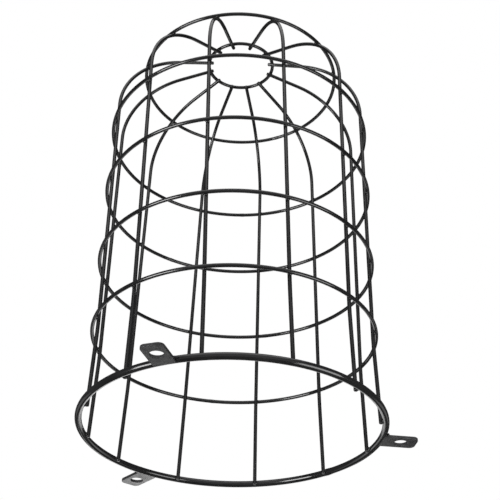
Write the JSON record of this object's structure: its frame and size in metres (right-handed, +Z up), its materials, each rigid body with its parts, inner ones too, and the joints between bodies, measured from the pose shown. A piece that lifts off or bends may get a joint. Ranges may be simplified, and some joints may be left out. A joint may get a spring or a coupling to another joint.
{
  "type": "bulb cage guard",
  "caption": "Domed cage of welded black wire that guards a lamp bulb: straight ribs inside round hoops on a heavier open base ring, with flat screw tabs for fixing.",
  "frame": {"origin": "centre of the base ring, in the plane of its underside and of the screw tabs' undersides", "axes": "+Z up the cage's axis from the open base ring to the crown ring; tab_1 lies 7 degrees from +X towards +Y"},
  "size_m": [0.1665, 0.1609, 0.2389],
  "materials": {
    "black_powder_coat": "satin black powder coat over mild steel wire and strip"
  },
  "bodies": {
    "root": {"base_ring": "black_powder_coat", "hoop_1": "black_powder_coat", "hoop_2": "black_powder_coat", "hoop_3": "black_powder_coat", "hoop_4": "black_powder_coat", "shoulder_hoop": "black_powder_coat", "crown_ring": "black_powder_coat", "rib_01": "black_powder_coat", "rib_02": "black_powder_coat", "rib_03": "black_powder_coat", "rib_04": "black_powder_coat", "rib_05": "black_powder_coat", "rib_06": "black_powder_coat", "rib_07": "black_powder_coat", "rib_08": "black_powder_coat", "rib_09": "black_powder_coat", "rib_10": "black_powder_coat", "rib_11": "black_powder_coat", "rib_12": "black_powder_coat", "tab_1": "black_powder_coat", "tab_2": "black_powder_coat", "tab_3": "black_powder_coat"}
  },
  "joints": []
}
